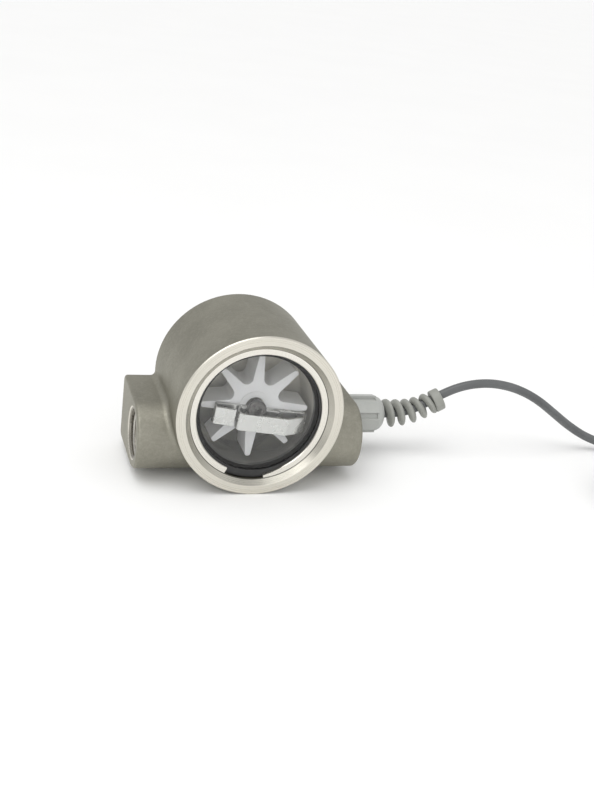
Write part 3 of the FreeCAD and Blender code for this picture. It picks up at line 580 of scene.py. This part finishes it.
lead_colours = (
    ("brown", (0.10, 0.040, 0.018), (0.15, 0.065, 0.030)),
    ("blue", (0.020, 0.065, 0.26), (0.035, 0.10, 0.34)),
    ("black", (0.012, 0.012, 0.012), (0.03, 0.03, 0.03)),
)
lead_insulation = [moulded(f"lead_{name}", dark, light) for name, dark, light in lead_colours]
tinned_copper = metal("tinned_copper", (0.55, 0.50, 0.45), (0.78, 0.74, 0.70), 0.25, 0.4, 1500.0)
tie_black = moulded("tie_black_nylon", (0.014, 0.014, 0.015), (0.03, 0.03, 0.032), 0.35, 0.5)

NODE_FINISH = {
    "body": cast_body,
    "rear_cover": turned_steel,
    "front_retaining_ring": spring_steel,
    "rotor_shaft": plain_steel,
    "board_screws": plain_steel,
    "rear_cover_screws": plain_steel,
    "rotor_clip": strip_steel,
    "clip_screw": dark_steel,
    "rotor_magnets": ferrite,
    "window_glass": glass,
    "rotor": rotor_white,
    "rotor_bush": bush_plastic,
    "front_thrust_washer": bush_plastic,
    "rear_thrust_washer": bush_plastic,
    "window_gasket": gasket_black,
    "window_o_ring": rubber_black,
    "rear_cover_o_ring": rubber_black,
    "gland_gasket": rubber_black,
    "gland_seal": rubber_black,
    "gland_body": gland_grey,
    "gland_clamp": gland_grey,
    "gland_nut": gland_grey,
    "cable_in_gland": jacket_grey,
    "hall_sensor": component_black,
    "terminal_block": terminal_green,
    "sensor_board": board_green,
}


def finish_cad_nodes():
    for name, material in NODE_FINISH.items():
        node = nodes[name]
        node.data.materials.clear()
        node.data.materials.append(material)


# ---------------------------------------------------------------- cable, coil and leads

def coil_stage(wound):
    """Turn radius and height after so many degrees of winding."""
    for before, after in zip(COIL_STAGES, COIL_STAGES[1:]):
        if wound <= after[0]:
            share = smooth_step((wound - before[0]) / (after[0] - before[0]))
            return blend(before[1], after[1], share), blend(before[2], after[2], share)
    return COIL_STAGES[-1][1:]


def round_the_coil(radius, angle, height):
    """A point at a radius and an angle about the coil's upright axis."""
    return (
        COIL_CENTRE.x + radius * math.cos(angle),
        COIL_CENTRE.y + radius * math.sin(angle),
        height,
    )


def coil_points():
    """Control points of the turns, a little outside them because the spline cuts inside."""
    outside = 1 / math.cos(math.radians(COIL_STEP_DEGREES / 2))
    points = []
    wound = COIL_STEP_DEGREES
    while wound <= COIL_STAGES[-1][0]:
        radius, height = coil_stage(wound)
        points.append(round_the_coil(radius * outside, math.radians(-wound), height))
        wound += COIL_STEP_DEGREES
    return points


def make_cable():
    points = list(CABLE_ROUTE) + coil_points()
    cable = nurbs_curve("signal_cable", points, CABLE_RADIUS, resolution=8, bevel_resolution=8)
    finish_piece(cable, jacket_grey)
    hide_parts("cable", "cable_coil")
    return cable, Path(line_of(points, resolution=8))


def make_leads(path):
    """Three staggered leads from the end of the jacket, each with a stripped, tinned tip."""
    end, direction = path.at(path.length)
    inward = COIL_CENTRE - end
    inward.z = 0.0
    inward.normalize()
    spacing = 0.95 * MM
    outer_turn, turn_step = 26.55 * MM, 1.65 * MM
    first_degrees, degree_step, longest_span, span_step = 16, 11, 82, 8
    above_two_layers = coil_low.z + 2 * CABLE_WIDTH + 0.65 * MM + LEAD_RADIUS
    jacket_end = math.atan2(end.y - COIL_CENTRE.y, end.x - COIL_CENTRE.x)
    strand_reaches = (-1 * MM, 2 * MM, 4.5 * MM)
    pieces = []
    for number, (name, _, _) in enumerate(lead_colours):
        start = end - direction * 2 * MM + inward * (number - 1) * spacing
        start.z += 0.5 * MM if number == 1 else -0.3 * MM
        points = [start, start + direction * 4 * MM]
        turn_radius = outer_turn - turn_step * number
        last_degrees = longest_span - span_step * number
        for degrees in range(first_degrees, last_degrees + 1, degree_step):
            angle = jacket_end - math.radians(degrees)
            points.append(round_the_coil(turn_radius, angle, above_two_layers))
        lead = nurbs_curve(f"cable_lead_{name}", points, LEAD_RADIUS)
        finish_piece(lead, lead_insulation[number])
        lead_path = Path(line_of(points))
        tip, tip_direction = lead_path.at(lead_path.length)
        strand = nurbs_curve(
            f"lead_tip_{name}", [tip + tip_direction * reach for reach in strand_reaches], 0.4 * MM,
        )
        finish_piece(strand, tinned_copper)
        pieces += [lead, strand]
    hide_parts("cable_leads")
    return pieces


def hull(points):
    """The convex outline of flat points, anticlockwise."""
    points = sorted(set(points))

    def half(sequence):
        chain = []
        for point in sequence:
            while len(chain) >= 2:
                (ax, ay), (bx, by) = chain[-2], chain[-1]
                if (bx - ax) * (point[1] - ay) - (by - ay) * (point[0] - ax) > 0:
                    break
                chain.pop()
            chain.append(point)
        return chain[:-1]

    return half(points) + half(reversed(points))


def spokes(outline, middle, count=72):
    """The points of an outline in evenly spaced directions from its middle."""
    parallel = 1e-12
    slack = 1e-6
    points = []
    for step in range(count):
        heading = 2 * math.pi * step / count
        ray = (math.cos(heading), math.sin(heading))
        farthest = 0.0
        for (ax, ay), (bx, by) in zip(outline, outline[1:] + outline[:1]):
            ex, ey = bx - ax, by - ay
            cross = ray[0] * ey - ray[1] * ex
            if abs(cross) < parallel:
                continue
            distance = ((ax - middle[0]) * ey - (ay - middle[1]) * ex) / cross
            share = ((ax - middle[0]) * ray[1] - (ay - middle[1]) * ray[0]) / cross
            if distance > 0 and -slack <= share <= 1 + slack:
                farthest = max(farthest, distance)
        points.append((middle[0] + ray[0] * farthest, middle[1] + ray[1] * farthest))
    return points


def make_coil_tie(name, path, degrees):
    """A flat strap drawn round all the turns that pass one side of the coil, with its lock."""
    strap = 0.45 * MM
    half = 1.6 * MM
    edge = 0.12 * MM
    inner_gap = CABLE_RADIUS + 0.02 * MM
    circle_steps = 24
    angle = math.radians(degrees)
    outward = Vector((math.cos(angle), math.sin(angle), 0))
    along = Vector((-math.sin(angle), math.cos(angle), 0))
    centre = Vector((COIL_CENTRE.x, COIL_CENTRE.y, 0))

    def place(radius, height):
        return centre + outward * radius + Vector((0, 0, height))

    crossings = []
    for start, end in zip(path.line, path.line[1:]):
        first, second = (start - centre).dot(along), (end - centre).dot(along)
        reach = (start - centre).dot(outward)
        if first * second <= 0 < reach < COIL_REACH and first != second:
            spot = start.lerp(end, first / (first - second))
            crossings.append(((spot - centre).dot(outward), spot.z))
    middle = tuple(sum(values) / len(crossings) for values in zip(*crossings))
    outlines = []
    for gap in (inner_gap, inner_gap + strap):
        circles = []
        for radius, height in crossings:
            for step in range(circle_steps):
                turn = 2 * math.pi * step / circle_steps
                circles.append((
                    round(radius + gap * math.cos(turn), 7),
                    round(height + gap * math.sin(turn), 7),
                ))
        outlines.append(spokes(hull(circles), middle))

    bm = bmesh.new()
    rings = []
    inner, outer = outlines
    for inner_point, outer_point in zip(inner, outer):
        low, high = place(*inner_point), place(*outer_point)
        thick = (high - low).normalized()
        rings.append([
            low - along * half, high - along * half - thick * edge,
            high - along * (half - edge), high + along * (half - edge),
            high + along * half - thick * edge, low + along * half,
        ])
    loft(bm, rings, closed=True)
    lock_r, lock_z = outer[len(outer) // 8]
    lock_turn = Matrix.Rotation(angle, 4, "Z") @ Matrix.Rotation(math.radians(-45), 4, "Y")
    for rise, size, bevel in (
        (0.2 * MM, (2.2 * MM, 4.8 * MM, 4.6 * MM), 0.4 * MM),
        (1.3 * MM, (1.4 * MM, 3.0 * MM, 0.9 * MM), 0.25 * MM),
    ):
        round_box(bm, place(lock_r + rise, lock_z + rise), size, bevel, turn=lock_turn)
    tie = mesh_piece(name, bm)
    return finish_piece(tie, tie_black)


# ---------------------------------------------------------------- bend protector

# The rib's section: share of its half width along the axis, share of its height.
RIB_SECTION = (
    (-0.80, 0.0), (-1.0, 0.10), (-0.98, 0.28), (-0.86, 0.50), (-0.66, 0.72), (-0.42, 0.90),
    (-0.16, 0.985), (0.12, 1.0), (0.38, 0.93), (0.62, 0.76), (0.84, 0.52), (0.98, 0.28),
    (1.0, 0.10), (0.80, 0.0),
)
# What the rib measures at the nut and at the end ring, in millimetres.
RIB_INNER_RADII = (2.9, 3.9)
RIB_OUTER_RADII = (8.15, 6.3)
RIB_HALF_WIDTHS = (2.3, 2.0)


def make_bend_protector():
    """A moulded spiral of pointed ribs that ends in a plain ring."""
    path = Path(line_of(PROTECTOR_ROUTE, resolution=24))
    ring_length = 5.3 * MM
    pitch = 6.15 * MM
    into_ring = 1.2 * MM
    lead_in_height = 2.2 * MM
    lead_in_turns = 0.35
    first_turn = math.radians(10)
    steps_per_turn = 48
    spiral_length = path.length - ring_length + into_ring
    steps = int(spiral_length / pitch * steps_per_turn)
    side = Vector((0, -1, 0))
    bm = bmesh.new()
    rings = []
    for step in range(steps + 1):
        distance = spiral_length * step / steps
        share = distance / spiral_length
        centre, direction = path.at(distance)
        across = side.cross(direction)
        angle = first_turn - 2 * math.pi * distance / pitch
        outward = -across * math.cos(angle) + side * math.sin(angle)
        grow = smooth_step(step / (steps_per_turn * lead_in_turns))
        inner = blend(*RIB_INNER_RADII, share) * MM
        outer = blend(*RIB_OUTER_RADII, share) * MM
        top = blend(inner + lead_in_height, outer, grow)
        half_width = blend(*RIB_HALF_WIDTHS, share) * MM
        rings.append([
            centre + direction * half_width * along + outward * blend(inner, top, high)
            for along, high in RIB_SECTION
        ])
    loft(bm, rings)

    outer = 6.4 * MM
    inner = 3.9 * MM
    soft = 0.7 * MM
    edge = 0.3 * MM
    profile = [
        (0.0, inner + edge), (0.0, outer - soft), (0.25 * soft, outer - 0.3 * soft),
        (soft, outer), (ring_length - soft, outer),
        (ring_length - 0.25 * soft, outer - 0.3 * soft),
        (ring_length, outer - soft), (ring_length, inner + edge),
        (ring_length - edge, inner), (edge, inner),
    ]
    middle, direction = path.at(path.length - ring_length / 2)
    lathe(bm, profile, middle - direction * ring_length / 2, direction, side)
    piece = mesh_piece("spiral_bend_protector", bm)
    finish_piece(piece, protector_grey)
    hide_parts("bend_protector")
    return piece


# ---------------------------------------------------------------- machined details

def make_port_threads():
    """The thread inside each port, as a ridge wound along the bore."""
    pitch = 1.814 * MM
    root = 12.22 * MM
    crest = 11.45 * MM
    start = 1.6 * MM
    length = 15.0 * MM
    steps_per_turn = 64
    fade_steps = 40
    turns = length / pitch
    steps = int(turns * steps_per_turn)
    section = ((-0.46, root), (-0.10, crest), (0.10, crest), (0.46, root))
    for name, way in (("left", -1), ("right", 1)):
        bm = bmesh.new()
        rings = []
        for step in range(steps + 1):
            share = step / steps
            angle = 2 * math.pi * turns * share * -way
            inset = start + length * share
            grow = smooth_step(min(step, steps - step) / fade_steps)
            ring = []
            for along, radius in section:
                reach = blend(root, radius, grow)
                ring.append(Vector((
                    way * (PORT_REACH - inset - along * pitch),
                    PORT_Y + reach * math.cos(angle),
                    PORT_Z + reach * math.sin(angle),
                )))
            rings.append(ring)
        loft(bm, rings)
        thread = mesh_piece(f"{name}_port_thread", bm, smooth=False)
        finish_piece(thread, plain_steel)


# ---------------------------------------------------------------- inside the sensor compartment

def make_conductors():
    """The three insulated conductors, from the jacket's end to the terminals."""
    for number, (name, _, _) in enumerate(lead_colours):
        offset = number - 1
        # Right of the barrel's axis, behind the rim and above the axis, in mm.
        route = (
            (24.0, 51.5 + 1.5 * offset, -20.4), (16.0, 51.5 + 1.5 * offset, -20.4),
            (6.0 + 4.0 * offset, 51.0 + 0.8 * offset, -13.0),
            (2.0 + 4.5 * offset, 49.6, -4.5), (2.0 + 4.5 * offset, 49.6, 2.0),
        )
        points = [
            (AXIS.x + x * MM, RIM_Y + y * MM, AXIS.z + z * MM) for x, y, z in route
        ]
        wire = nurbs_curve(f"conductor_{name}", points, CONDUCTOR_RADIUS)
        finish_piece(wire, lead_insulation[number])
    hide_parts("conductors")


# Parts on the board, in millimetres: chips by name, place right of and above the barrel's axis,
# and width, depth and height; resistors by place.
CHIPS = (
    ("amplifier_chip", (-14.0, 8.0), (6.0, 1.4, 4.9)),
    ("regulator_chip", (14.5, 6.5), (4.4, 1.2, 4.4)),
    ("output_transistor", (-12.0, -8.0), (2.9, 1.1, 1.6)),
)
RESISTORS = ((-4.0, -16.0), (5.0, -17.5), (13.0, -9.0), (-17.0, 0.5), (17.0, -2.0))


def make_board_parts():
    """Small parts on the sensor board and the screws of its terminals."""
    low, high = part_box("terminal_block")
    board_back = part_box("sensor_board")[1].y

    def on_board(x, z, lift):
        """A place on the board's rear face, from millimetres about the barrel's axis."""
        return Vector((AXIS.x + x * MM, board_back + lift * MM, AXIS.z + z * MM))

    screw_pitch = 4.5 * MM
    screw_profile = [
        (0.0, 0.05 * MM), (0.0, 1.2 * MM), (0.15 * MM, 1.45 * MM), (0.5 * MM, 1.45 * MM),
        (0.5 * MM, 0.05 * MM),
    ]
    bm = bmesh.new()
    for number in (-1, 0, 1):
        x = (low.x + high.x) / 2 + number * screw_pitch
        centre = Vector((x, high.y - 0.05 * MM, (low.z + high.z) / 2))
        lathe(bm, screw_profile, centre, Vector((0, 1, 0)), Vector((1, 0, 0)), steps=32)
    screws = mesh_piece("terminal_screws", bm)
    finish_piece(screws, plain_steel)

    leg_size = (1.0 * MM, 0.3 * MM, 0.42 * MM)
    leg_pitch = 1.2
    leg_reach = 0.45
    for name, (x, z), (wide, deep, tall) in CHIPS:
        bm = bmesh.new()
        size = (wide * MM, deep * MM, tall * MM)
        round_box(bm, on_board(x, z, deep / 2), size, 0.12 * MM, segments=2)
        chip = mesh_piece(name, bm, smooth=False)
        finish_piece(chip, component_black)
        bm = bmesh.new()
        legs = max(2, int(tall / leg_pitch))
        for leg in range(legs):
            leg_z = z - tall / 2 + (leg + 0.5) * tall / legs
            for way in (-1, 1):
                spot = on_board(x + way * (wide / 2 + leg_reach), leg_z, 0.18)
                round_box(bm, spot, leg_size, 0.06 * MM, segments=1)
        chip_legs = mesh_piece(f"{name}_legs", bm, smooth=False)
        finish_piece(chip_legs, tinned_copper)

    resistor_size = (2.0 * MM, 0.7 * MM, 1.25 * MM)
    bm = bmesh.new()
    for x, z in RESISTORS:
        round_box(bm, on_board(x, z, 0.4), resistor_size, 0.1 * MM, segments=2)
    resistors = mesh_piece("board_resistors", bm, smooth=False)
    finish_piece(resistors, component_black)


# ---------------------------------------------------------------- stage, lights and camera

FLOOR_HALF_SIDE = 30.0
WORLD_LIGHT = 0.68
BACKDROP_BRIGHTNESS = 0.93


def make_stage():
    """A pale floor under an even white sky that the camera sees a little brighter."""
    bm = bmesh.new()
    bmesh.ops.create_grid(bm, x_segments=8, y_segments=8, size=FLOOR_HALF_SIDE)
    floor = mesh_piece("floor", bm)
    recipe = Recipe("pale_floor", roughness=0.75)
    mottle = recipe.noise(6.0, detail=3.0)
    colour = recipe.mix(
        recipe.ramp(mottle, 0.3, 0.7), (0.945, 0.945, 0.94), (0.955, 0.955, 0.95),
    )
    recipe.shader_input("Base Color", colour)
    floor.data.materials.append(recipe.material)

    world = bpy.data.worlds.new("studio")
    world.use_nodes = True
    tree = world.node_tree
    background = tree.nodes["Background"]
    background.inputs["Color"].default_value = (1.0, 1.0, 1.0, 1.0)
    light_path = tree.nodes.new("ShaderNodeLightPath")
    strength = tree.nodes.new("ShaderNodeMapRange")
    strength.inputs["To Min"].default_value = WORLD_LIGHT
    strength.inputs["To Max"].default_value = BACKDROP_BRIGHTNESS
    tree.links.new(light_path.outputs["Is Camera Ray"], strength.inputs["Value"])
    tree.links.new(strength.outputs["Result"], background.inputs["Strength"])
    bpy.context.scene.world = world
    bpy.context.scene.view_settings.view_transform = "Standard"


def area_light(name, place, target, size, power):
    """A softbox at a place, turned towards its target and hidden from the camera."""
    lamp = bpy.data.lights.new(name, "AREA")
    lamp.shape = "RECTANGLE"
    lamp.size, lamp.size_y = size
    lamp.energy = power
    light = bpy.data.objects.new(name, lamp)
    light.location = place
    light.rotation_euler = (Vector(target) - Vector(place)).to_track_quat("-Z", "Y").to_euler()
    light.visible_camera = False
    bpy.context.scene.collection.objects.link(light)


def make_lights():
    """A wide sun from above, with a softbox on each side and a large one in front."""
    sun = bpy.data.lights.new("soft_sun", "SUN")
    sun.energy = 1.15
    sun.angle = math.radians(50)
    high = bpy.data.objects.new("soft_sun", sun)
    high.rotation_euler = Vector((0.30, 0.10, -1.0)).to_track_quat("-Z", "Y").to_euler()
    bpy.context.scene.collection.objects.link(high)
    area_light("left_softbox", (-0.75, -0.75, 0.75), (0, 0, 0.04), (0.5, 0.5), 1.7)
    area_light("front_screen", (-0.15, -1.0, 0.36), (0, 0, 0.045), (1.5, 0.6), 1.5)
    area_light("right_softbox", (0.85, -0.55, 0.55), (0, 0, 0.04), (0.9, 0.7), 0.7)


def make_camera():
    """A normal lens from the front left, a little above, rolled as the part leans."""
    camera = bpy.data.cameras.new("camera")
    camera.sensor_width = 36.0
    camera.lens = 52.30
    camera.clip_start = 0.01
    camera.clip_end = 100.0
    place = (-0.1504, -0.5323, 0.2693)
    ahead = Vector((0.2935, 0.8773, -0.3797))
    right = Vector((0.9559, -0.2666, 0.1229)).normalized()
    back = -ahead.normalized()
    up = back.cross(right).normalized()
    right = up.cross(back)
    turn = Matrix((right, up, back)).transposed().to_4x4()
    holder = bpy.data.objects.new("camera", camera)
    holder.matrix_world = Matrix.Translation(place) @ turn
    bpy.context.scene.collection.objects.link(holder)
    bpy.context.scene.camera = holder


# ---------------------------------------------------------------- put together

finish_cad_nodes()
cable, cable_path = make_cable()
lead_pieces = make_leads(cable_path)
tie_pieces = [
    make_coil_tie("coil_tie_front", cable_path, 330.0),
    make_coil_tie("coil_tie_rear", cable_path, 150.0),
]
protector = make_bend_protector()
make_port_threads()
make_conductors()
make_board_parts()
make_stage()
make_lights()
make_camera()
